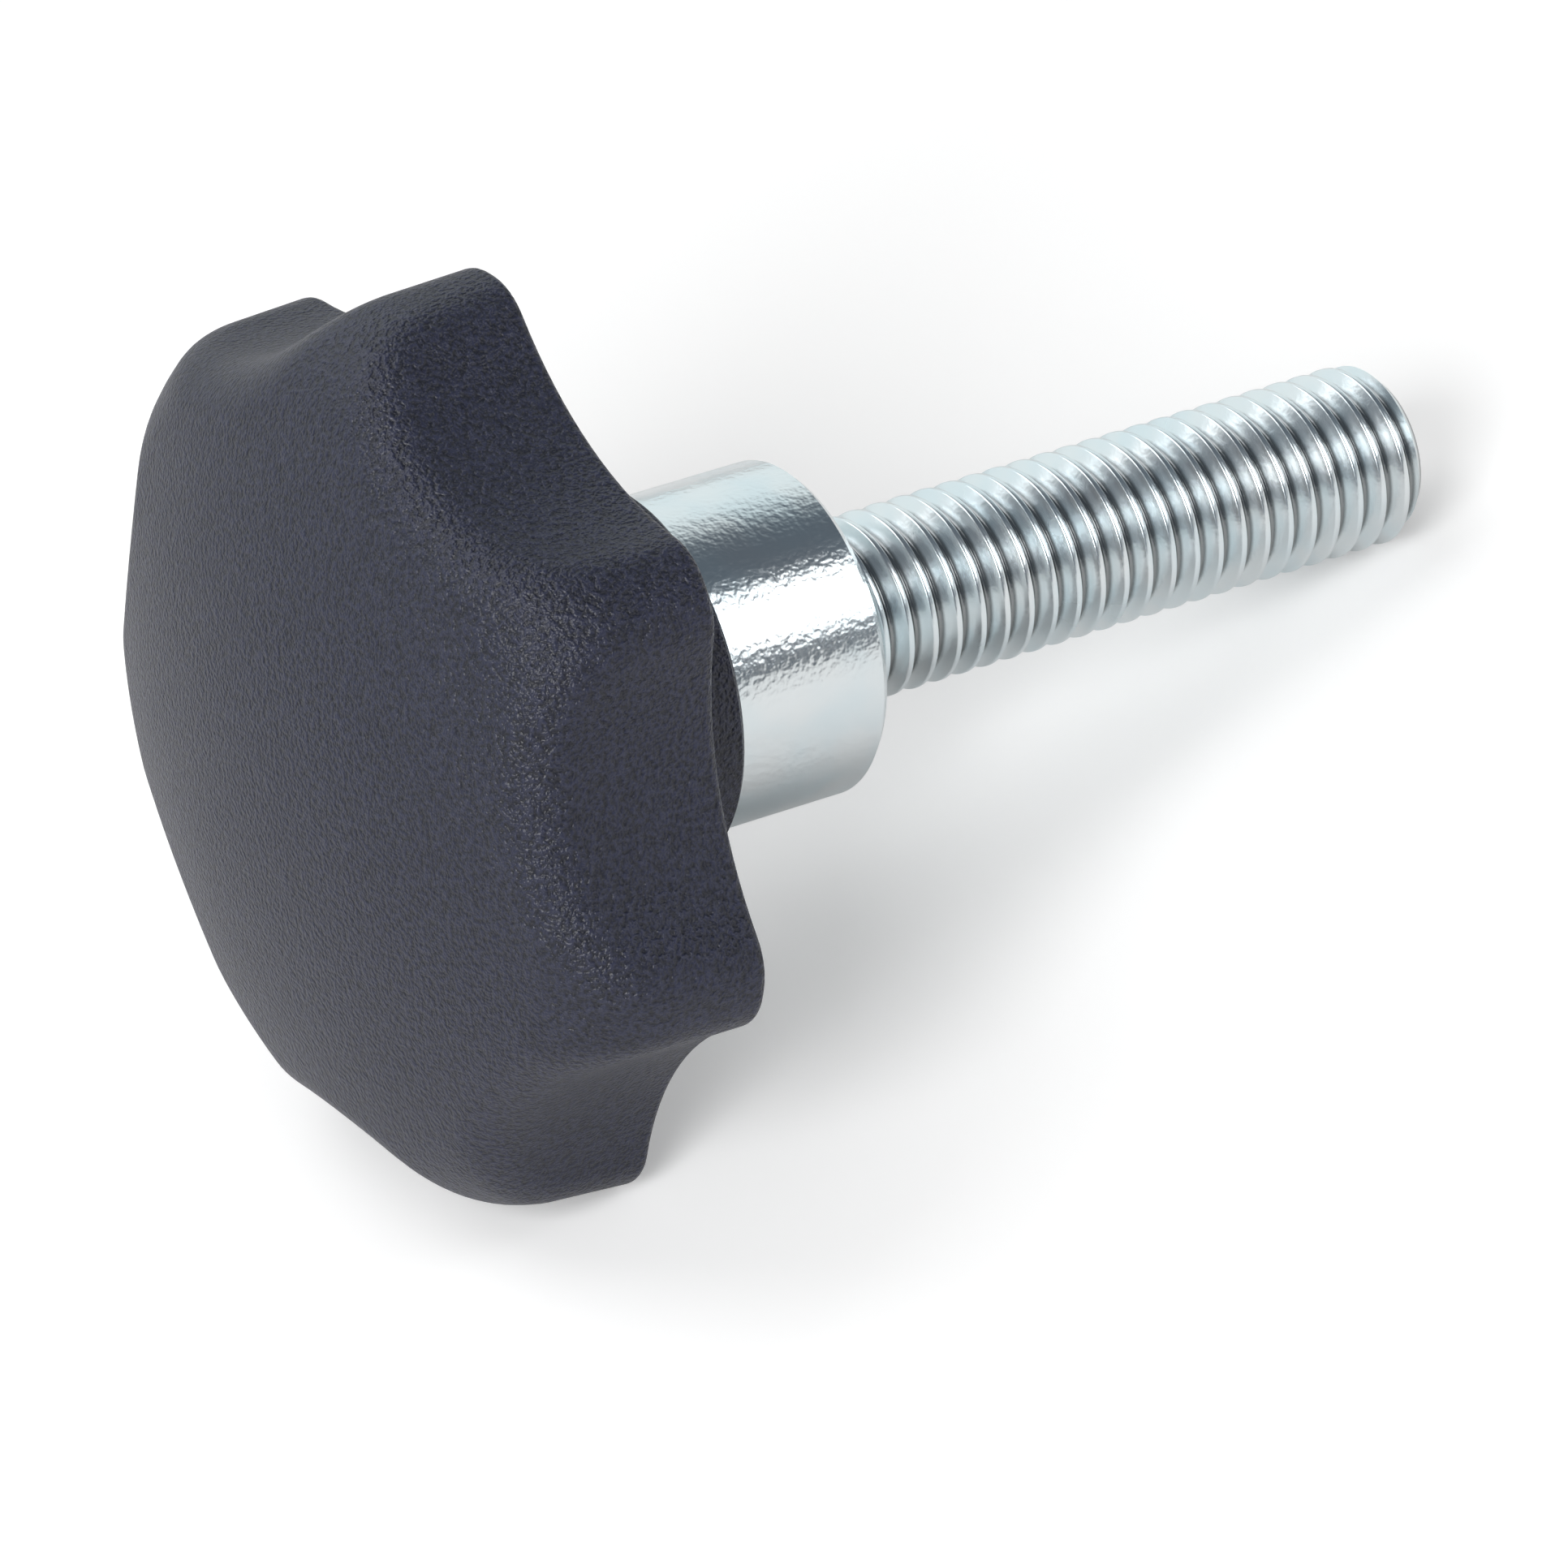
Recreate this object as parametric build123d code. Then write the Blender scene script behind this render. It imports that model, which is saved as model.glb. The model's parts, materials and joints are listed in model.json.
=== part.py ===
"""Seven-lobed star knob with a projecting steel bushing and a threaded stud.

Three pieces: a moulded knob body, a turned bushing that the body is moulded
round, and a stud screwed and locked into the bushing's blind hole.

Each piece is made about the knob's own axis, Z, with the bushing's end face at
Z = 0, the stud on +Z and the crown of the head on -Z. The finished pieces are
then laid down as the knob comes to rest: on two lobes and the stud's tip.
"""

from build123d import *
from math import asin, atan2, cos, degrees, hypot, pi, radians, sin, sqrt, tan
import os

# ---------------------------------------------------------------- sizes, in mm

# Head of the knob
lobe_count = 7
knob_diameter = 50.0        # over the lobe tips, at the rim
flute_depth = 4.0           # lobe tip to bottom of a finger flute
lobe_edge_radius = 3.4      # where the flutes run out into lobes and crown
lobe_land = 0.5             # strip of lobe tip left between two such edges
head_depth = 14.6           # rim plane to crown
side_draft = 4.5            # degrees; the lobes widen towards the rim
shoulder_radius = 7.0       # lobe side to crown
crown_radius = 60.0         # shallow dome of the front
rim_edge_radius = 0.6       # edge of the back face

# Back of the head
collar_wall = 1.2           # plastic round the bushing
collar_height = 8.0         # collar's end above the rim plane
collar_root_radius = 0.8
collar_edge = 0.3           # chamfer round the collar's end
recess_depth = 3.4          # shallow coring between collar and rim
rim_wall = 3.6              # land left between a flute and the coring
recess_clearance = 2.2      # land left round the collar
rib_thickness = 1.8         # one rib behind each lobe
recess_corner_radius = 1.2

# Steel bushing
bushing_diameter = 18.0
bushing_projection = 9.6    # bare steel, collar's end to end face
bushing_anchor = 15.0       # length held in the plastic
bushing_edge = 0.45         # chamfer of the end face
hole_mouth_diameter = 10.5  # countersink of the tapped hole, clear of the stud
bore_extra = 1.5            # blind hole beyond the stud's inner end
drill_point_angle = 118.0
groove_width = 3.0          # locks the bushing in along the axis
groove_depth = 1.0
groove_inset = 2.5          # groove to the bushing's inner end
knurl_teeth = 36            # stops the bushing turning in the plastic
knurl_depth = 0.45
knurl_length = 6.0

# Stud, M10 x 1.5
stud_diameter = 10.0
thread_pitch_diameter = 9.03  # where stud and bushing meet inside the tapped hole
stud_projection = 37.0      # bushing's end face to tip
stud_engagement = 15.0      # screwed into the bushing
stud_chamfer = 1.0

# Modelling
length_tolerance = 1e-3     # within which an edge is taken to lie on a surface

# ------------------------------------------------------------- derived places

tip_radius = knob_diameter / 2
waist_radius = tip_radius - flute_depth
lobe_pitch = 2 * pi / lobe_count
bushing_radius = bushing_diameter / 2
collar_radius = bushing_radius + collar_wall
collar_end_z = -bushing_projection
rim_z = collar_end_z - collar_height
crown_z = rim_z - head_depth
bushing_inner_z = collar_end_z - bushing_anchor
stud_radius = stud_diameter / 2
pitch_radius = thread_pitch_diameter / 2
hole_mouth_radius = hole_mouth_diameter / 2


def flute_radius_between_lobes():
    """Radius of the flute that touches two lobe edges and the bottom of the flute."""
    edge_centre = tip_radius - lobe_edge_radius
    half_land_angle = asin(lobe_land / 2 / tip_radius)
    spread = edge_centre * cos(lobe_pitch / 2 - half_land_angle)
    excess = lobe_edge_radius**2 + 2 * spread * waist_radius - waist_radius**2 - edge_centre**2
    return excess / (2 * (waist_radius - lobe_edge_radius - spread))


flute_radius = flute_radius_between_lobes()
flute_offset = waist_radius + flute_radius


def flute_centres():
    """Angles, in radians, of the flutes; one flute faces -X, between two lobes."""
    return [pi + k * lobe_pitch for k in range(lobe_count)]


# -------------------------------------------------------------------- profiles


def on_section(radius, z):
    """Point of a section through the axis, in the XZ plane."""
    return Vector(radius, 0, z)


def arc_about(centre, radius, start, end):
    """Arc of a section, from one angle to another, in radians about its centre."""
    angles = (start, (start + end) / 2, end)
    points = [on_section(centre[0] + radius * cos(a), centre[1] + radius * sin(a)) for a in angles]
    return ThreePointArc(*points)


def turned(points):
    """Solid of revolution from section points given as (radius, z)."""
    outline = Polyline(*[on_section(*p) for p in points], close=True)
    return revolve(make_face(outline), Axis.Z)


def head_blank():
    """Head before its flutes: drafted side, round shoulder and shallow crown."""
    draft = radians(side_draft)
    dome_z = crown_z + crown_radius
    # The shoulder touches the side from inside, and the crown's circle from inside.
    side_inset = tip_radius - shoulder_radius / cos(draft)
    slope = tan(draft)
    a = 1 + slope**2
    b = 2 * slope * side_inset + 2 * (rim_z - dome_z)
    c = side_inset**2 + (rim_z - dome_z) ** 2 - (crown_radius - shoulder_radius) ** 2
    depth = (-b - sqrt(b * b - 4 * a * c)) / (2 * a)
    shoulder = (side_inset + slope * depth, rim_z + depth)
    side_end = -draft
    dome_end = atan2(shoulder[1] - dome_z, shoulder[0])
    side_touch = on_section(
        shoulder[0] + shoulder_radius * cos(side_end),
        shoulder[1] + shoulder_radius * sin(side_end),
    )
    section = Wire(
        [
            Line(on_section(0, rim_z), on_section(tip_radius, rim_z)),
            Line(on_section(tip_radius, rim_z), side_touch),
            arc_about(shoulder, shoulder_radius, side_end, dome_end),
            arc_about((0, dome_z), crown_radius, dome_end, -pi / 2),
            Line(on_section(0, crown_z), on_section(0, rim_z)),
        ]
    )
    return revolve(make_face(section), Axis.Z)


def flute_cutters():
    """Upright cylinders, one in each flute, that reach well past both ends of the head."""
    middle = (rim_z + crown_z) / 2
    return [
        Pos(flute_offset * cos(a), flute_offset * sin(a), middle) * Cylinder(flute_radius, 3 * head_depth)
        for a in flute_centres()
    ]


def lies_on_flute(edge):
    """True for an edge of a flute that runs up the lobes and over the shoulder."""
    point = edge.position_at(0.5)
    gaps = [
        abs(hypot(point.X - flute_offset * cos(a), point.Y - flute_offset * sin(a)) - flute_radius)
        for a in flute_centres()
    ]
    return min(gaps) < length_tolerance and point.Z < rim_z - length_tolerance


def is_collar_root(edge):
    """True for the circle where the collar stands on the back of the head."""
    if edge.geom_type != GeomType.CIRCLE:
        return False
    same_radius = abs(edge.radius - collar_radius) < length_tolerance
    return same_radius and abs(edge.arc_center.Z - rim_z) < length_tolerance


def recess_outline():
    """Cored area of the back: inside the lobes, outside the collar, between ribs."""
    area = Circle(tip_radius - rim_wall)
    for a in flute_centres():
        area -= Pos(flute_offset * cos(a), flute_offset * sin(a)) * Circle(flute_radius + rim_wall)
        rib_angle = degrees(a + lobe_pitch / 2)
        area -= Rot(0, 0, rib_angle) * Pos(tip_radius / 2, 0) * Rectangle(tip_radius, rib_thickness)
    area -= Circle(collar_radius + recess_clearance)
    return fillet(area.vertices(), recess_corner_radius)


# ---------------------------------------------------------------------- pieces


def bushing_blank():
    """Turned outside of the bushing, with its locking groove and straight knurl."""
    groove_start_z = bushing_inner_z + groove_inset
    groove_end_z = groove_start_z + groove_width
    groove_radius = bushing_radius - groove_depth
    blank = turned(
        [
            (0, bushing_inner_z),
            (bushing_radius - bushing_edge, bushing_inner_z),
            (bushing_radius, bushing_inner_z + bushing_edge),
            (bushing_radius, groove_start_z),
            (groove_radius, groove_start_z),
            (groove_radius, groove_end_z),
            (bushing_radius, groove_end_z),
            (bushing_radius, -bushing_edge),
            (bushing_radius - bushing_edge, 0),
            (0, 0),
        ]
    )
    tooth_width = knurl_depth * sqrt(2)
    knurl_z = groove_end_z + knurl_length / 2
    notch = Rot(0, 0, 45) * Box(tooth_width, tooth_width, knurl_length)
    for k in range(knurl_teeth):
        blank -= Rot(0, 0, k * 360 / knurl_teeth) * Pos(bushing_radius, 0, knurl_z) * notch
    return blank


def drilled_hole():
    """Countersunk blind hole for the stud, at the pitch diameter, with its drill point."""
    hole_end_z = -stud_engagement - bore_extra
    point_depth = pitch_radius / tan(radians(drill_point_angle / 2))
    return turned(
        [
            (0, 0),
            (hole_mouth_radius, 0),
            (pitch_radius, pitch_radius - hole_mouth_radius),
            (pitch_radius, hole_end_z),
            (0, hole_end_z - point_depth),
        ]
    )


def make_stud():
    """Stud blank, at the thread's outer diameter where it is free, chamfered at both ends."""
    return turned(
        [
            (0, -stud_engagement),
            (pitch_radius - stud_chamfer, -stud_engagement),
            (pitch_radius, -stud_engagement + stud_chamfer),
            (pitch_radius, 0),
            (stud_radius, 0),
            (stud_radius, stud_projection - stud_chamfer),
            (stud_radius - stud_chamfer, stud_projection),
            (0, stud_projection),
        ]
    )


def make_knob_body(insert):
    """Fluted, moulded head with its collar, cored back and seat for the bushing."""
    head = head_blank()
    for cutter in flute_cutters():
        head -= cutter
    head = head.fillet(lobe_edge_radius, [e for e in head.edges() if lies_on_flute(e)])
    back = head.faces().sort_by(Axis.Z)[-1]
    head = head.fillet(rim_edge_radius, back.outer_wire().edges())

    head += turned(
        [
            (0, rim_z - recess_depth),
            (collar_radius, rim_z - recess_depth),
            (collar_radius, collar_end_z - collar_edge),
            (collar_radius - collar_edge, collar_end_z),
            (0, collar_end_z),
        ]
    )
    head = head.fillet(collar_root_radius, [e for e in head.edges() if is_collar_root(e)])
    head -= Pos(0, 0, rim_z - recess_depth) * extrude(recess_outline(), recess_depth)
    return head - insert


# ------------------------------------------------------------------- rest pose


def rest_tilt():
    """Degrees that the axis dips towards the stud's tip, on two lobes and the tip."""
    edge_angle = lobe_pitch / 2 - asin(lobe_land / 2 / tip_radius)
    rim_reach = (tip_radius - lobe_edge_radius) * cos(edge_angle) + lobe_edge_radius
    drop = rim_reach - rim_edge_radius - stud_radius
    run = stud_projection - stud_chamfer - rim_z + rim_edge_radius
    return degrees(atan2(drop, run) + asin(rim_edge_radius / hypot(drop, run)))


def rest_location(pieces):
    """Turns the stud to +X with two lobes down, centred over the origin and on Z = 0."""
    # The axis turns from +Z past +X, and the flute on -X comes round to the underside.
    turn = Rot(0, 90 + rest_tilt(), 0) * Rot(0, 0, 180)
    box = Compound([turn * piece for piece in pieces]).bounding_box()
    middle = box.center()
    return Pos(-middle.X, -middle.Y, -box.min.Z) * turn


blank = bushing_blank()
pieces = {
    "knob_body": make_knob_body(blank),
    "steel_bushing": blank - drilled_hole(),
    "threaded_stud": make_stud(),
}
at_rest = rest_location(pieces.values())

os.makedirs("parts", exist_ok=True)
for name, piece in pieces.items():
    export_step(at_rest * piece, f"parts/{name}.step")
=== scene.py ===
"""Dresses a seven-lobed star knob: grained plastic head, zinc-plated bushing and threaded stud.

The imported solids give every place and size. The head is a copy of its solid with
its triangles joined, and the bushing keeps its own. The stud's plain blank is
replaced by a rolled M10 x 1.5 thread, from the bushing's face outward only: the
length screwed into the bushing is left out. Lengths are in metres.
"""

import json
import math

import bpy
from mathutils import Matrix, Vector


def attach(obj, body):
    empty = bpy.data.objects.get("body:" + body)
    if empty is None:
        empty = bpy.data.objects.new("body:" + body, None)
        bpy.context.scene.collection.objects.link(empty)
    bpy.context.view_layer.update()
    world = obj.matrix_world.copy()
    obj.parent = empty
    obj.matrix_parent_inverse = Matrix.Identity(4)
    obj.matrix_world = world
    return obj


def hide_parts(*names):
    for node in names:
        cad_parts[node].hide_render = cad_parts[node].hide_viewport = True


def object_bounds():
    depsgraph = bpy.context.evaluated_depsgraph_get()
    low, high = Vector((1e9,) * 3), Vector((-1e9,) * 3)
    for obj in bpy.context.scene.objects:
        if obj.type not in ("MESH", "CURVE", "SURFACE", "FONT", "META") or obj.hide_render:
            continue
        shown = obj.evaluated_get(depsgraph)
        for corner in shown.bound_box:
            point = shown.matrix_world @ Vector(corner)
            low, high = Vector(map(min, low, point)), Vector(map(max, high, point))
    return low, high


bl_info = {
    "name": "Star knob dresser",
    "version": (1, 0, 0),
    "blender": (4, 5, 0),
    "location": "3D View > Sidebar > Star Knob",
    "description": "Finishes, thread and studio for a moulded star knob with a threaded stud",
    "category": "Object",
}

MM = 0.001

# Modelling
WELD_DISTANCE = 1e-6
FINE_WELD_DISTANCE = 1e-7
SMOOTH_ANGLE = math.radians(35)
THREAD_FLANK = math.radians(60)
ROD_FACETS = 128
FACING_TIP = 0.9            # the rod's far end has a normal steeper than this

# Plastic
PLASTIC_IOR = 1.5
PALE_GRAIN = 2.4            # share of the base colour on the grain's heights
DARK_GRAIN = 0.6            # and in its hollows
GRAIN_EDGES = (0.3, 0.7)
GRAINS_PER_CLOUD = 40

# Zinc plate
BUSHING_DIMPLE_DEPTH = 0.03 * MM
THREAD_DIMPLE_DEPTH = 0.01 * MM
THREAD_BLUR = 0.04          # added to the plate's roughness on the thread
BLUE_TINT = (0.93, 0.98, 1.0)
TINT_EDGES = (0.35, 0.65)
DIMPLES_PER_CLOUD = 12
# Painted shade: the thread's roots are darkened in colour, fading out over these edges
ROOT_PAINTED_SHADE = 0.35           # share of the plate's colour left in a root, as painted shade
ROOT_PAINTED_SHADE_EDGES = (0.05 * MM, 0.28 * MM)

CLOUD_SWING = 0.08          # change of roughness from cloud to cloud

# Studio
FLOOR_SIZE = 6
SWEEP_BLEND = 8 * MM
BEHIND_EDGES = (0.1, 0.5)   # where the pale backdrop starts, by direction
CEILING_EDGES = (0.5, 0.7)  # where it ends, by height
SENSOR_WIDTH = 36
NEAREST_SEEN = 0.01

# Sockets of a Mix node that mixes colours
MIX_FACTOR = 0
MIX_FIRST = 6
MIX_SECOND = 7
MIX_RESULT = 2

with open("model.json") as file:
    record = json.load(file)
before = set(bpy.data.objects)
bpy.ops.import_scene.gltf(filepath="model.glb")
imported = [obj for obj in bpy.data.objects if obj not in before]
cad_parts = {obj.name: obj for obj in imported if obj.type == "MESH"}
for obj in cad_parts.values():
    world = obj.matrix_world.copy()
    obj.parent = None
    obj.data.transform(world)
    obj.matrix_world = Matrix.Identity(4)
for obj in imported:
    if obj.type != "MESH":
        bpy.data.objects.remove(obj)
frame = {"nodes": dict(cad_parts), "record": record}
CAD_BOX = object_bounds()
MOUNTS = {mount["name"]: mount for mount in frame["record"]["mounts"]}
STUD_MOUNT = MOUNTS["stud"]
STUD_AXIS = Vector(STUD_MOUNT["axis"]).normalized()
STUD_WALL = STUD_MOUNT["dims"]["length_mm"] * MM
STUD_RADIUS = STUD_MOUNT["dims"]["r_mm"] * MM
BUSHING_FACE = Vector(STUD_MOUNT["pos_m"]) - STUD_AXIS * STUD_WALL / 2


def axis_frame():
    """Matrix from the knob's own axis frame, with +Z along the stud and +X upward, to the row frame."""
    upward = (Vector((0, 0, 1)) - STUD_AXIS * STUD_AXIS.z).normalized()
    sideways = STUD_AXIS.cross(upward)
    turn = Matrix((upward, sideways, STUD_AXIS)).transposed()
    return Matrix.Translation(BUSHING_FACE) @ turn.to_4x4()


AXIS_FRAME = axis_frame()


# ---------------------------------------------------------------- shader maths


class Wire:
    """One shader socket, with arithmetic that adds Math nodes."""

    def __init__(self, finish, socket):
        self.finish = finish
        self.socket = socket

    def math(self, operation, *others):
        values = dict(enumerate((self, *others)))
        return self.finish.node("ShaderNodeMath", {"operation": operation}, values)

    def __add__(self, other):
        return self.math("ADD", other)

    __radd__ = __add__

    def __sub__(self, other):
        return self.math("SUBTRACT", other)

    def __rsub__(self, other):
        settings = {"operation": "SUBTRACT"}
        return self.finish.node("ShaderNodeMath", settings, {0: other, 1: self})

    def __mul__(self, other):
        return self.math("MULTIPLY", other)

    __rmul__ = __mul__

    def smooth(self, low, high):
        """0 below low, 1 above high and a soft step between."""
        settings = {"interpolation_type": "SMOOTHSTEP"}
        values = {"Value": self, "From Min": low, "From Max": high}
        return self.finish.node("ShaderNodeMapRange", settings, values)


class Nodes:
    """Adds nodes to one node tree."""

    def __init__(self, tree):
        self.tree = tree

    def node(self, kind, settings=None, values=None, output=0):
        """Adds a node, sets its settings and then its sockets, and returns one output."""
        made = self.tree.nodes.new(kind)
        for name, value in (settings or {}).items():
            setattr(made, name, value)
        for key, value in (values or {}).items():
            self.feed(made.inputs[key], value)
        return Wire(self, made.outputs[output])

    def feed(self, socket, value):
        if isinstance(value, Wire):
            self.tree.links.new(value.socket, socket)
        else:
            socket.default_value = value

    def mix(self, factor, first, second):
        """Colour between first and second."""
        values = {MIX_FACTOR: factor, MIX_FIRST: first, MIX_SECOND: second}
        return self.node("ShaderNodeMix", {"data_type": "RGBA"}, values, MIX_RESULT)

    def ray_is(self, *kinds):
        """1 for a ray of one of these kinds, such as Camera or Glossy."""
        found = [self.node("ShaderNodeLightPath", output=f"Is {kind} Ray") for kind in kinds]
        seen = found[0]
        for other in found[1:]:
            seen = seen.math("MAXIMUM", other)
        return seen


class Finish(Nodes):
    """One material with a Principled shader, built node by node."""

    def __init__(self, name, **fixed):
        self.material = bpy.data.materials.new(name)
        self.material.use_nodes = True
        super().__init__(self.material.node_tree)
        self.shader = self.tree.nodes["Principled BSDF"]
        for socket, value in fixed.items():
            self.shader.inputs[socket.replace("_", " ")].default_value = value

    def place(self):
        """Coordinates in the knob's own axis frame, in metres."""
        raw = self.node("ShaderNodeTexCoord", output="Object")
        values = {
            "Vector": raw,
            "Location": AXIS_FRAME.translation,
            "Rotation": AXIS_FRAME.to_euler(),
        }
        return self.node("ShaderNodeMapping", {"vector_type": "TEXTURE"}, values)

    def noise(self, where, grain, detail=2.0, roughness=0.5):
        """Noise whose features are about grain metres wide."""
        values = {"Vector": where, "Scale": 1 / grain, "Detail": detail, "Roughness": roughness}
        return self.node("ShaderNodeTexNoise", values=values)

    def bump(self, height, depth):
        """Surface normal for a height map of 0 to 1 that is depth metres deep."""
        return self.node("ShaderNodeBump", values={"Height": height, "Distance": depth})

    def surface(self, **links):
        for socket, value in links.items():
            self.feed(self.shader.inputs[socket.replace("_", " ")], value)
        return self.material


# -------------------------------------------------------------------- finishes


def rgba(colour):
    return (*colour, 1.0)


def grained_plastic(look):
    """Matt moulded technopolymer with a fine spark-eroded grain."""
    finish = Finish("grained_black_plastic", Roughness=look.plastic_roughness, IOR=PLASTIC_IOR)
    where = finish.place()
    grain = finish.noise(where, look.grain_size, detail=1.5, roughness=0.6)
    cloud = finish.noise(where, GRAINS_PER_CLOUD * look.grain_size, detail=3.0)
    pale = rgba([PALE_GRAIN * c for c in look.plastic_colour])
    dark = rgba([DARK_GRAIN * c for c in look.plastic_colour])
    colour = finish.mix(grain.smooth(*GRAIN_EDGES), dark, pale)
    roughness = look.plastic_roughness + CLOUD_SWING * (cloud - 0.5)
    normal = finish.bump(grain, look.grain_depth)
    return finish.surface(Base_Color=colour, Roughness=roughness, Normal=normal)


def zinc_plate(look, name, dimple_depth, extra_blur=0.0, root_radius=None):
    """Bright zinc plate on turned steel, finely dimpled, faintly blue, with painted shade darkening a
    thread's roots.
    """
    finish = Finish(name, Metallic=1.0)
    where = finish.place()
    dimples = finish.noise(where, look.dimple_size, detail=1.0)
    cloud = finish.noise(where, DIMPLES_PER_CLOUD * look.dimple_size, detail=2.0)
    blue = rgba([tint * c for tint, c in zip(BLUE_TINT, look.zinc_colour)])
    colour = finish.mix(cloud.smooth(*TINT_EDGES), rgba(look.zinc_colour), blue)
    # Painted shade: the plate's colour is darkened in the thread's roots and clears above them
    if root_radius is not None:
        x = finish.node("ShaderNodeSeparateXYZ", values={"Vector": where}, output="X")
        y = finish.node("ShaderNodeSeparateXYZ", values={"Vector": where}, output="Y")
        radius = (x * x + y * y).math("SQRT")
        clear = radius.smooth(*[root_radius + edge for edge in ROOT_PAINTED_SHADE_EDGES])
        colour = finish.mix(clear, rgba([ROOT_PAINTED_SHADE * c for c in look.zinc_colour]), colour)
    roughness = look.zinc_roughness + extra_blur + CLOUD_SWING * (cloud - 0.5)
    normal = finish.bump(dimples, dimple_depth)
    return finish.surface(Base_Color=colour, Roughness=roughness, Normal=normal)


# -------------------------------------------------------------------- modelling


def nothing_selected():
    if bpy.context.object and bpy.context.object.mode != "OBJECT":
        bpy.ops.object.mode_set(mode="OBJECT")
    bpy.ops.object.select_all(action="DESELECT")


def active_only(piece):
    nothing_selected()
    piece.select_set(True)
    bpy.context.view_layer.objects.active = piece


def joined(piece, distance):
    """Merges points within that distance and turns every face outwards."""
    active_only(piece)
    bpy.ops.object.mode_set(mode="EDIT")
    bpy.ops.mesh.select_all(action="SELECT")
    bpy.ops.mesh.remove_doubles(threshold=distance)
    bpy.ops.mesh.normals_make_consistent(inside=False)
    bpy.ops.object.mode_set(mode="OBJECT")


def finished(piece, name):
    """Names the piece and moves its place from the axis frame into its mesh, in the row frame."""
    piece.name = name
    piece.data.name = name
    active_only(piece)
    bpy.ops.object.transform_apply(location=True, rotation=True, scale=True)
    piece.data.transform(AXIS_FRAME)
    joined(piece, WELD_DISTANCE)
    return piece


def painted(piece, material):
    piece.data.materials.clear()
    piece.data.materials.append(material)


def merged_copy(node, name):
    """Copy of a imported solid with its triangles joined, so that it shades smoothly over its pole."""
    piece = bpy.data.objects.new(name, node.data.copy())
    piece.data.name = name
    bpy.context.scene.collection.objects.link(piece)
    active_only(piece)
    bpy.ops.mesh.customdata_custom_splitnormals_clear()
    joined(piece, WELD_DISTANCE)
    bpy.ops.object.shade_smooth_by_angle(angle=SMOOTH_ANGLE)
    apply_modifier(piece, "WEIGHTED_NORMAL", keep_sharp=True)
    return piece


def thread_profile(size):
    """Section of one pitch, as (radius, z) from crest middle to crest middle."""
    crest = size.crest_radius
    root = size.root_radius
    rise = (crest - size.crest_round / 2) - (root + size.root_round / 2)
    run = rise / math.tan(THREAD_FLANK)
    crest_flat = size.pitch / 2 - run - math.sin(THREAD_FLANK) * (size.crest_round + size.root_round)
    half = []
    for step in range(size.arc_steps + 1):
        turn = THREAD_FLANK * step / size.arc_steps
        half.append((root + size.root_round * (1 - math.cos(turn)), size.root_round * math.sin(turn)))
    for step in range(size.arc_steps + 1):
        turn = THREAD_FLANK * (1 - step / size.arc_steps)
        z = size.pitch / 2 - crest_flat - size.crest_round * math.sin(turn)
        half.append((crest - size.crest_round * (1 - math.cos(turn)), z))
    half.append((crest, size.pitch / 2))
    return [(r, -z) for r, z in reversed(half)] + half[1:]


def profile_line(points):
    """Mesh of one chain of edges through section points given as (radius, z)."""
    nothing_selected()
    bpy.ops.mesh.primitive_grid_add(x_subdivisions=1, y_subdivisions=len(points) - 1, size=1)
    line = bpy.context.object
    bpy.ops.object.mode_set(mode="EDIT")
    bpy.ops.mesh.select_all(action="DESELECT")
    bpy.ops.object.mode_set(mode="OBJECT")
    for vertex in line.data.vertices:
        vertex.select = vertex.co.x > 0
    bpy.ops.object.mode_set(mode="EDIT")
    bpy.ops.mesh.delete(type="VERT")
    bpy.ops.object.mode_set(mode="OBJECT")
    chain = sorted(line.data.vertices, key=lambda vertex: vertex.co.y)
    for vertex, (radius, z) in zip(chain, points):
        vertex.co = (radius, 0, z)
    return line


def apply_modifier(piece, kind, **settings):
    active_only(piece)
    modifier = piece.modifiers.new(kind.lower(), kind)
    for name, value in settings.items():
        setattr(modifier, name, value)
    bpy.ops.object.modifier_apply(modifier=modifier.name)


def cut_across(piece, z, keep_above):
    """Cuts the piece square to its axis at z and fills the cut."""
    active_only(piece)
    bpy.ops.object.mode_set(mode="EDIT")
    bpy.ops.mesh.select_all(action="SELECT")
    bpy.ops.mesh.bisect(
        plane_co=(0, 0, z),
        plane_no=(0, 0, 1),
        use_fill=True,
        clear_inner=keep_above,
        clear_outer=not keep_above,
    )
    bpy.ops.object.mode_set(mode="OBJECT")


def turned_rod(radius, start, end, chamfer):
    """Round rod along the axis, from z = start to z = end, chamfered at its far end."""
    nothing_selected()
    bpy.ops.mesh.primitive_cylinder_add(
        vertices=ROD_FACETS,
        radius=radius,
        depth=end - start,
        location=(0, 0, (start + end) / 2),
    )
    rod = bpy.context.object
    bpy.ops.object.transform_apply(location=True)
    if chamfer:
        bpy.ops.object.mode_set(mode="EDIT")
        bpy.ops.mesh.select_all(action="DESELECT")
        bpy.ops.object.mode_set(mode="OBJECT")
        for polygon in rod.data.polygons:
            polygon.select = polygon.normal.z > FACING_TIP
        bpy.ops.object.mode_set(mode="EDIT")
        bpy.ops.mesh.bevel(offset=chamfer, segments=1, affect="EDGES")
        bpy.ops.object.mode_set(mode="OBJECT")
    return rod


def combined(piece, tool, operation):
    """Boolean of the piece and the tool, which is removed."""
    apply_modifier(piece, "BOOLEAN", operation=operation, object=tool, solver="EXACT")
    bpy.data.objects.remove(tool)


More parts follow.
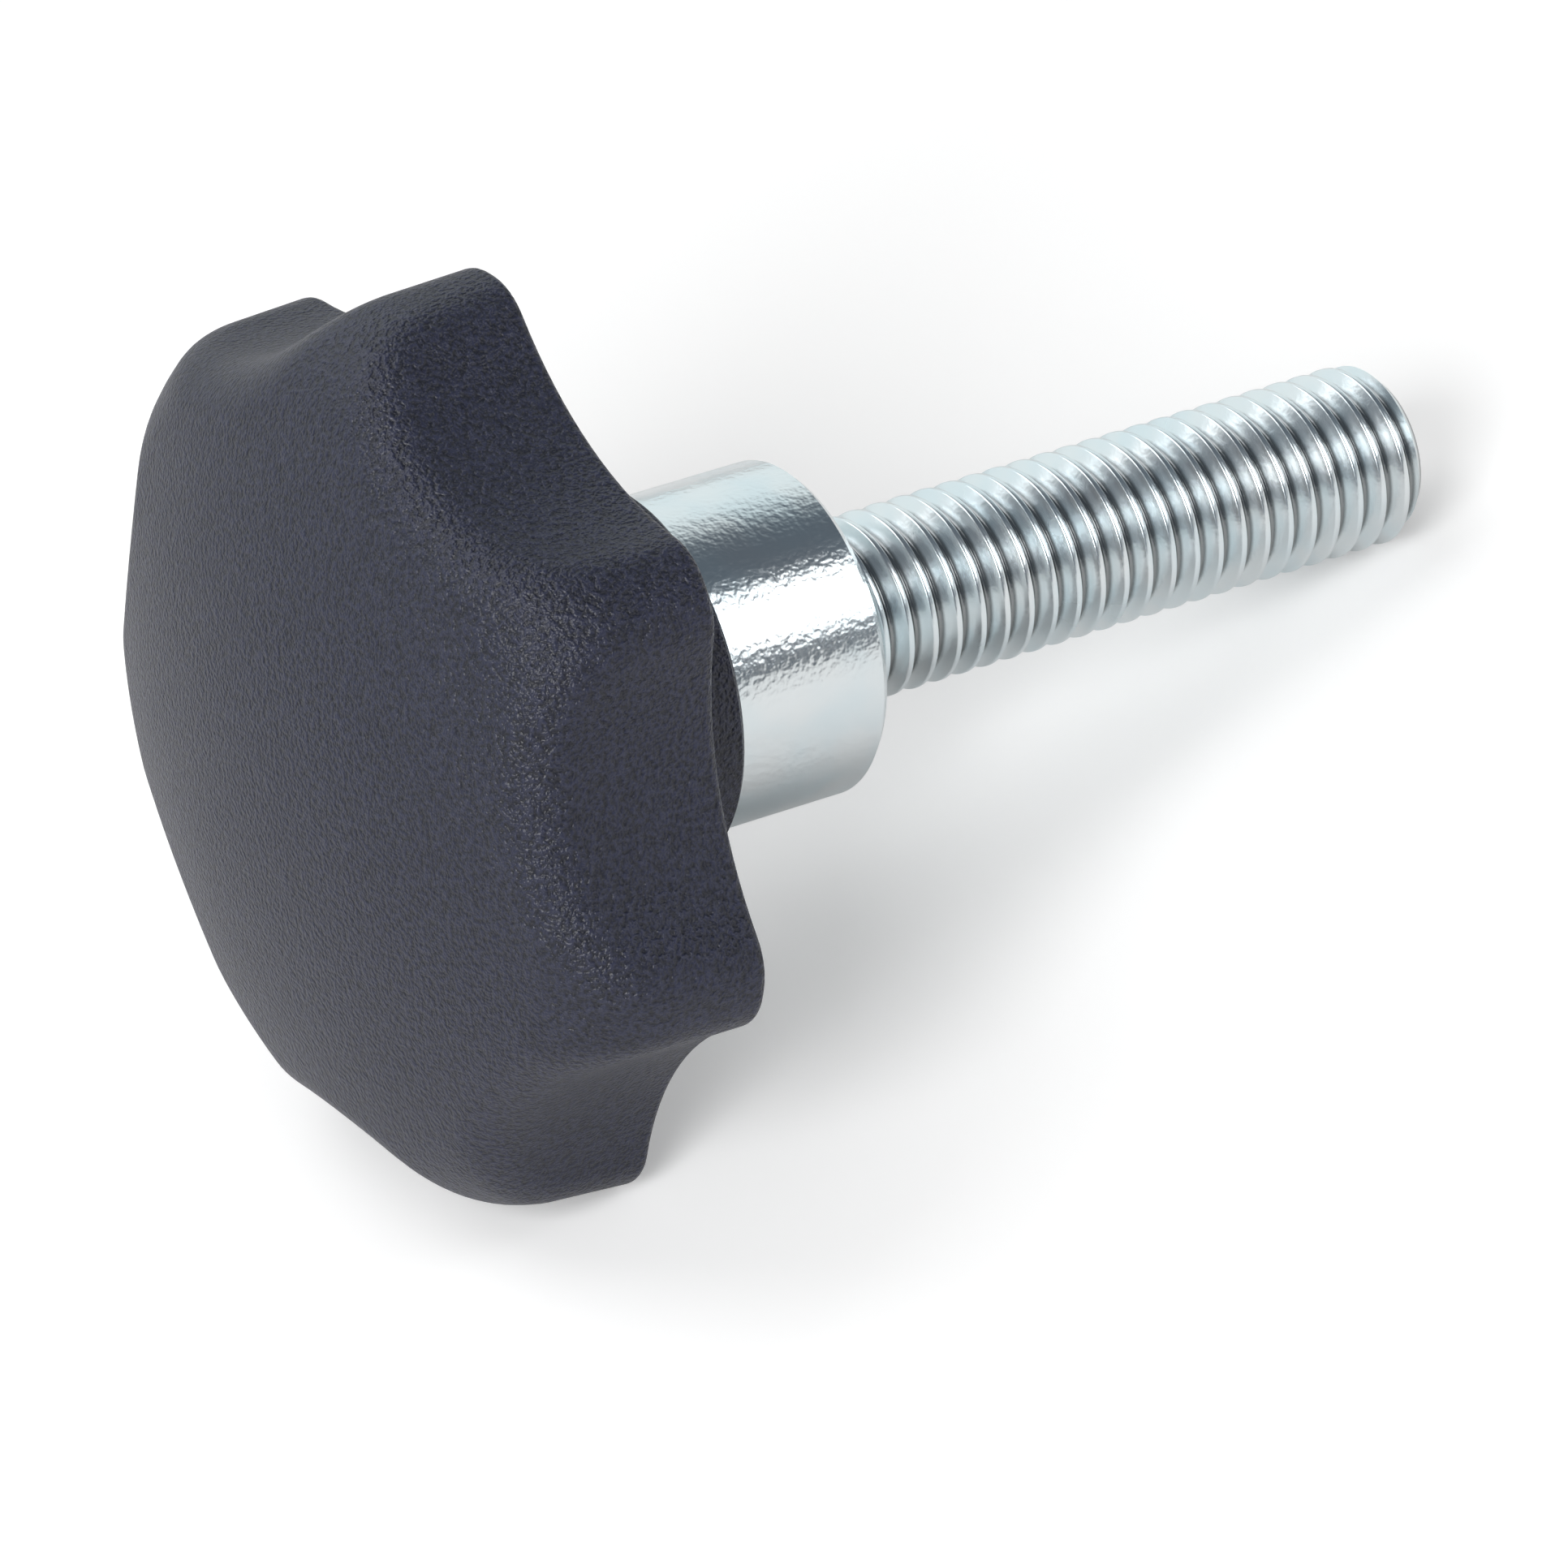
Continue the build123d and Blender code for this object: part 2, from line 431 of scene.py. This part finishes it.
def rolled_thread(size):
    """Free end of the stud, from the bushing's face, with its thread and chamfered tip."""
    tip = STUD_WALL + size.tip_chamfer
    first_root = size.root_phase - 2 * size.pitch
    points = [(radius, z + first_root) for radius, z in thread_profile(size)]
    stud = profile_line(points)
    turns = math.ceil((tip - first_root) / size.pitch) + 2
    apply_modifier(
        stud,
        "SCREW",
        angle=math.tau,
        screw_offset=size.pitch,
        iterations=turns,
        steps=size.steps_per_turn,
        render_steps=size.steps_per_turn,
        use_merge_vertices=True,
        merge_threshold=FINE_WELD_DISTANCE,
    )
    cut_across(stud, 0, keep_above=True)
    cut_across(stud, tip + size.pitch / 2, keep_above=False)
    joined(stud, FINE_WELD_DISTANCE)
    rod = turned_rod(STUD_RADIUS, -size.pitch, tip, size.tip_chamfer)
    combined(stud, rod, "INTERSECT")
    return finished(stud, "threaded_stud_M10")


# ------------------------------------------------------------------- properties


class KnobLook(bpy.types.PropertyGroup):
    """Colours and grain of the plastic and of the zinc plate."""

    plastic_colour: bpy.props.FloatVectorProperty(
        name="Plastic colour",
        description="Base colour of the moulded head",
        default=(0.009, 0.0103, 0.022),
        subtype="COLOR",
        min=0,
        max=1,
    )
    plastic_roughness: bpy.props.FloatProperty(
        name="Plastic roughness",
        description="How matt the moulded head is",
        default=0.38,
        subtype="FACTOR",
        min=0,
        max=1,
    )
    grain_size: bpy.props.FloatProperty(
        name="Grain size",
        description="Width of one grain of the spark-eroded texture",
        default=0.27 * MM,
        subtype="DISTANCE",
        unit="LENGTH",
        precision=5,
    )
    grain_depth: bpy.props.FloatProperty(
        name="Grain depth",
        description="Height of the texture's grains",
        default=0.22 * MM,
        subtype="DISTANCE",
        unit="LENGTH",
        precision=6,
    )
    zinc_colour: bpy.props.FloatVectorProperty(
        name="Zinc colour",
        description="Reflectance of the zinc plate",
        default=(0.80, 0.84, 0.85),
        subtype="COLOR",
        min=0,
        max=1,
    )
    zinc_roughness: bpy.props.FloatProperty(
        name="Zinc roughness",
        description="How much the plate blurs what it reflects",
        default=0.22,
        subtype="FACTOR",
        min=0,
        max=1,
    )
    dimple_size: bpy.props.FloatProperty(
        name="Dimple size",
        description="Width of the plate's fine dimples",
        default=0.35 * MM,
        subtype="DISTANCE",
        unit="LENGTH",
        precision=5,
    )


class ThreadSize(bpy.types.PropertyGroup):
    """Form of the rolled thread."""

    pitch: bpy.props.FloatProperty(
        name="Pitch",
        description="Advance of one turn",
        default=1.5 * MM,
        unit="LENGTH",
        precision=5,
    )
    crest_radius: bpy.props.FloatProperty(
        name="Crest radius",
        description="Outer radius, a little under nominal as a plated thread's is",
        default=STUD_RADIUS - 0.07 * MM,
        unit="LENGTH",
        precision=5,
    )
    root_radius: bpy.props.FloatProperty(
        name="Root radius",
        description="Radius at the bottom of the groove",
        default=4.08 * MM,
        unit="LENGTH",
        precision=5,
    )
    crest_round: bpy.props.FloatProperty(
        name="Crest rounding",
        description="Edge radius of the crest",
        default=0.12 * MM,
        unit="LENGTH",
        precision=5,
    )
    root_round: bpy.props.FloatProperty(
        name="Root rounding",
        description="Radius in the groove",
        default=0.2 * MM,
        unit="LENGTH",
        precision=5,
    )
    root_phase: bpy.props.FloatProperty(
        name="Root phase",
        description="First groove, from the bushing's face, on the side turned upward",
        default=1.34 * MM,
        unit="LENGTH",
        precision=5,
    )
    tip_chamfer: bpy.props.FloatProperty(
        name="Tip chamfer",
        description="Chamfer of the stud's end",
        default=1.0 * MM,
        unit="LENGTH",
        precision=5,
    )
    arc_steps: bpy.props.IntProperty(
        name="Arc steps", description="Facets in each rounding of the profile", default=3, min=1
    )
    steps_per_turn: bpy.props.IntProperty(
        name="Steps per turn", description="Facets round the stud", default=128, min=16
    )


class StudioSetup(bpy.types.PropertyGroup):
    """Camera, floor and lights."""

    azimuth: bpy.props.FloatProperty(
        name="Azimuth",
        description="Where the camera stands, from the side that looks along +Y",
        default=math.radians(-22.405),
        subtype="ANGLE",
    )
    elevation: bpy.props.FloatProperty(
        name="Elevation",
        description="Camera height above the horizon",
        default=math.radians(35.826),
        subtype="ANGLE",
    )
    roll: bpy.props.FloatProperty(
        name="Roll",
        description="Tilt of the camera about its line of sight",
        default=math.radians(20.167),
        subtype="ANGLE",
    )
    distance: bpy.props.FloatProperty(
        name="Distance", description="Camera to aim point", default=628.5 * MM, unit="LENGTH"
    )
    aim: bpy.props.FloatVectorProperty(
        name="Aim",
        description="Point that the camera looks at, from the middle of the footprint",
        default=(-7.425 * MM, -5.629 * MM, 12.251 * MM),
        subtype="TRANSLATION",
        unit="LENGTH",
    )
    lens: bpy.props.FloatProperty(
        name="Lens", description="Focal length in millimetres", default=279.5
    )
    floor_colour: bpy.props.FloatVectorProperty(
        name="Floor colour",
        description="Colour of the floor",
        default=(0.9, 0.9, 0.9),
        subtype="COLOR",
        min=0,
        max=1,
    )
    floor_lift: bpy.props.FloatProperty(
        name="Floor lift", description="Light added to the floor as the camera sees it", default=0.24
    )
    sweep_front: bpy.props.FloatProperty(
        name="Sweep front",
        description="Front edge of the white floor, from the middle of the footprint",
        default=200 * MM,
        unit="LENGTH",
    )
    studio_colour: bpy.props.FloatVectorProperty(
        name="Studio colour",
        description="Dark ceiling and front of the studio",
        default=(0.10, 0.12, 0.145),
        subtype="COLOR",
        min=0,
        max=1,
    )
    backdrop_colour: bpy.props.FloatVectorProperty(
        name="Backdrop colour",
        description="Pale backdrop behind the knob",
        default=(0.88, 0.95, 0.96),
        subtype="COLOR",
        min=0,
        max=1,
    )
    fill_level: bpy.props.FloatProperty(
        name="Fill level", description="Even light from all sides", default=0.2
    )
    key_level: bpy.props.FloatProperty(
        name="Key level", description="Brightness of the softbox in front", default=9.0
    )
    overhead_level: bpy.props.FloatProperty(
        name="Overhead level", description="Brightness of the overhead softbox", default=1.9
    )
    side_level: bpy.props.FloatProperty(
        name="Side level", description="Brightness of the softbox at the side", default=2.8
    )


# -------------------------------------------------------------------- operators


class STARKNOB_OT_head(bpy.types.Operator):
    """Joins the moulded head's triangles and gives it its grained plastic"""

    bl_idname = "starknob.head"
    bl_label = "Moulded head"

    def execute(self, context):
        look = context.scene.knob_look
        head = merged_copy(frame["nodes"]["knob_body"], "moulded_head")
        painted(head, grained_plastic(look))
        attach(head, "root")
        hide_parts("knob_body")
        return {"FINISHED"}


class STARKNOB_OT_bushing(bpy.types.Operator):
    """Gives the turned bushing its zinc plate"""

    bl_idname = "starknob.bushing"
    bl_label = "Steel bushing"

    def execute(self, context):
        look = context.scene.knob_look
        painted(frame["nodes"]["steel_bushing"], zinc_plate(look, "zinc_on_bushing", BUSHING_DIMPLE_DEPTH))
        return {"FINISHED"}


class STARKNOB_OT_stud(bpy.types.Operator):
    """Models the stud's free, threaded end in place of its plain blank"""

    bl_idname = "starknob.stud"
    bl_label = "Threaded stud"

    def execute(self, context):
        stud = rolled_thread(context.scene.thread_size)
        look = context.scene.knob_look
        root_radius = context.scene.thread_size.root_radius
        # The thread's plate carries painted shade in its roots
        plate = zinc_plate(look, "zinc_on_thread_painted_root_shade", THREAD_DIMPLE_DEPTH, THREAD_BLUR, root_radius)
        painted(stud, plate)
        active_only(stud)
        bpy.ops.object.shade_smooth_by_angle(angle=SMOOTH_ANGLE)
        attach(stud, "root")
        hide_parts("threaded_stud")
        return {"FINISHED"}


class STARKNOB_OT_studio(bpy.types.Operator):
    """Sets up the floor, the lights and the camera"""

    bl_idname = "starknob.studio"
    bl_label = "Studio"

    def execute(self, context):
        setup = context.scene.studio_setup
        pale_floor(setup)
        surroundings(context.scene, setup)
        soft_lights(setup)
        aimed_camera(context.scene, setup)
        context.scene.view_settings.view_transform = "Standard"
        return {"FINISHED"}


def pale_floor(setup):
    """White sweep under the knob, with the dark studio in front of it."""
    nothing_selected()
    bpy.ops.mesh.primitive_plane_add(size=FLOOR_SIZE, location=(0, 0, CAD_BOX[0].z))
    floor = bpy.context.object
    floor.name = "studio_floor"
    finish = Finish("studio_floor", Roughness=0.9, Specular_IOR_Level=0.0)
    where = finish.node("ShaderNodeTexCoord", output="Object")
    along = finish.node("ShaderNodeSeparateXYZ", values={"Vector": where}, output="Y")
    sweep = along.smooth(-setup.sweep_front - SWEEP_BLEND, -setup.sweep_front + SWEEP_BLEND)
    seen = finish.ray_is("Camera")
    pale = sweep.math("MAXIMUM", seen)
    colour = finish.mix(pale, rgba(setup.studio_colour), rgba(setup.floor_colour))
    glow = finish.mix(seen, rgba((0, 0, 0)), rgba([setup.floor_lift] * 3))
    finish.shader.inputs["Emission Strength"].default_value = 1.0
    painted(floor, finish.surface(Base_Color=colour, Emission_Color=glow))


def surroundings(scene, setup):
    """White to the camera; a pale backdrop and a dark ceiling to the knob."""
    world = bpy.data.worlds.new("studio_surroundings")
    world.use_nodes = True
    scene.world = world
    nodes = Nodes(world.node_tree)
    way = nodes.node("ShaderNodeTexCoord", output="Generated")
    backward = nodes.node("ShaderNodeSeparateXYZ", values={"Vector": way}, output="Y")
    upward = nodes.node("ShaderNodeSeparateXYZ", values={"Vector": way}, output="Z")
    behind = backward.smooth(*BEHIND_EDGES)
    low = 1 - upward.smooth(*CEILING_EDGES)
    studio = nodes.mix(behind * low, rgba(setup.studio_colour), rgba(setup.backdrop_colour))
    lit = nodes.mix(nodes.ray_is("Diffuse"), studio, rgba([setup.fill_level] * 3))
    seen = nodes.mix(nodes.ray_is("Camera"), lit, rgba((1, 1, 1)))
    nodes.feed(nodes.tree.nodes["Background"].inputs["Color"], seen)


def softbox(name, level, size, direction, distance):
    """Square lamp of that radiance, aimed at the knob from a direction."""
    light = bpy.data.lights.new(name, "AREA")
    light.shape = "RECTANGLE"
    light.size, light.size_y = size
    light.energy = level * math.pi * size[0] * size[1]
    lamp = bpy.data.objects.new(name, light)
    bpy.context.scene.collection.objects.link(lamp)
    away = Vector(direction).normalized()
    middle = (CAD_BOX[0] + CAD_BOX[1]) / 2
    lamp.location = middle + away * distance
    lamp.rotation_euler = (-away).to_track_quat("-Z", "Y").to_euler()
    lamp.visible_camera = False


def soft_lights(setup):
    softbox(
        "front_softbox",
        setup.key_level,
        size=(0.3, 0.3),
        direction=(-1.05, -0.85, 1.0),
        distance=0.6,
    )
    softbox(
        "overhead_softbox",
        setup.overhead_level,
        size=(0.5, 0.5),
        direction=(-0.15, 0.45, 0.9),
        distance=0.6,
    )
    softbox(
        "side_softbox",
        setup.side_level,
        size=(0.24, 0.26),
        direction=(0.62, -0.64, 0.38),
        distance=0.5,
    )


def aimed_camera(scene, setup):
    camera = bpy.data.objects.new("studio_camera", bpy.data.cameras.new("studio_camera"))
    scene.collection.objects.link(camera)
    camera.data.lens = setup.lens
    camera.data.sensor_width = SENSOR_WIDTH
    camera.data.clip_start = NEAREST_SEEN
    around = Matrix.Rotation(setup.azimuth, 3, "Z")
    raised = Matrix.Rotation(-setup.elevation, 3, "X")
    back = around @ raised @ Vector((0, -1, 0))
    level = (-back).to_track_quat("-Z", "Y")
    camera.matrix_world = (
        Matrix.Translation(Vector(setup.aim) + back * setup.distance)
        @ level.to_matrix().to_4x4()
        @ Matrix.Rotation(-setup.roll, 4, "Z")
    )
    scene.camera = camera


# ------------------------------------------------------------------------ panel


class STARKNOB_PT_sidebar(bpy.types.Panel):
    """Lists the steps that dress the star knob"""

    bl_idname = "STARKNOB_PT_sidebar"
    bl_label = "Star Knob"
    bl_space_type = "VIEW_3D"
    bl_region_type = "UI"
    bl_category = "Star Knob"

    def draw(self, context):
        for step in STEPS:
            self.layout.operator(step.bl_idname)
        for name in SETTINGS:
            group = getattr(context.scene, name)
            box = self.layout.box()
            for setting in group.bl_rna.properties:
                if not setting.is_readonly and setting.identifier != "name":
                    box.prop(group, setting.identifier)


SETTINGS = {"knob_look": KnobLook, "thread_size": ThreadSize, "studio_setup": StudioSetup}
STEPS = (STARKNOB_OT_head, STARKNOB_OT_bushing, STARKNOB_OT_stud, STARKNOB_OT_studio)
CLASSES = (*SETTINGS.values(), *STEPS, STARKNOB_PT_sidebar)


def register():
    for cls in CLASSES:
        bpy.utils.register_class(cls)
    for name, group in SETTINGS.items():
        setattr(bpy.types.Scene, name, bpy.props.PointerProperty(type=group))


def unregister():
    for name in SETTINGS:
        delattr(bpy.types.Scene, name)
    for cls in reversed(CLASSES):
        bpy.utils.unregister_class(cls)


def main():
    register()
    bpy.ops.starknob.head()
    bpy.ops.starknob.bushing()
    bpy.ops.starknob.stud()
    bpy.ops.starknob.studio()


if __name__ == "__main__":
    main()
